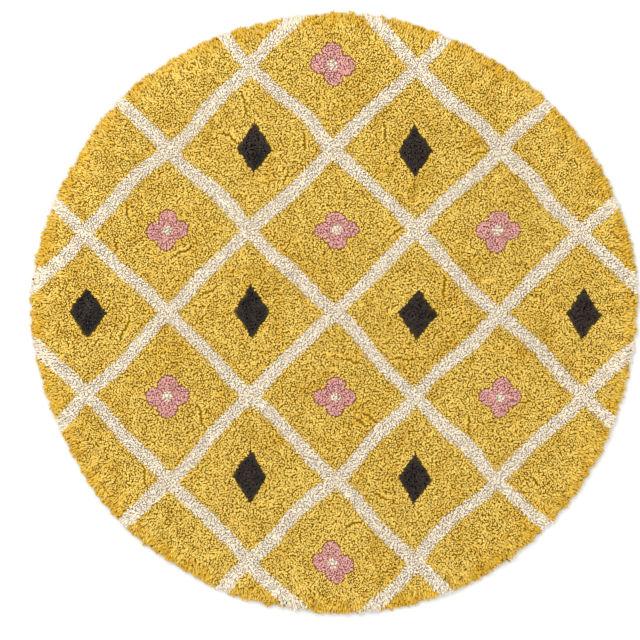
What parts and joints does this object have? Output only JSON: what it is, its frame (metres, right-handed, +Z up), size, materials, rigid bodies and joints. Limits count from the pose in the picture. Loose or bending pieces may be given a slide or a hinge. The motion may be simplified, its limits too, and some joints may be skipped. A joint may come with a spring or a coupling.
{
  "type": "round rug",
  "caption": "Round hand-tufted cotton rug lying flat: a thick disc of soft cut pile, with locks falling outwards all round its rim, in a trellis pattern.",
  "frame": {"origin": "on the floor, under the middle of the rug's length and width", "axes": "+Z up, through the rug's thickness; +Y towards the top of the pattern, as the rug is seen from straight above; +X to the right"},
  "size_m": [0.8116, 0.803, 0.0191],
  "materials": {
    "mustard_yarn": "soft matt cotton yarn, cut pile",
    "cream_yarn": "soft matt cotton yarn, cut pile",
    "charcoal_yarn": "soft matt cotton yarn, cut pile",
    "pink_yarn": "soft matt cotton yarn, cut pile",
    "ground_cloth": "plain woven unbleached cotton, seen from below and at the rim"
  },
  "bodies": {
    "root": {"rug": "mustard_yarn"}
  },
  "joints": []
}
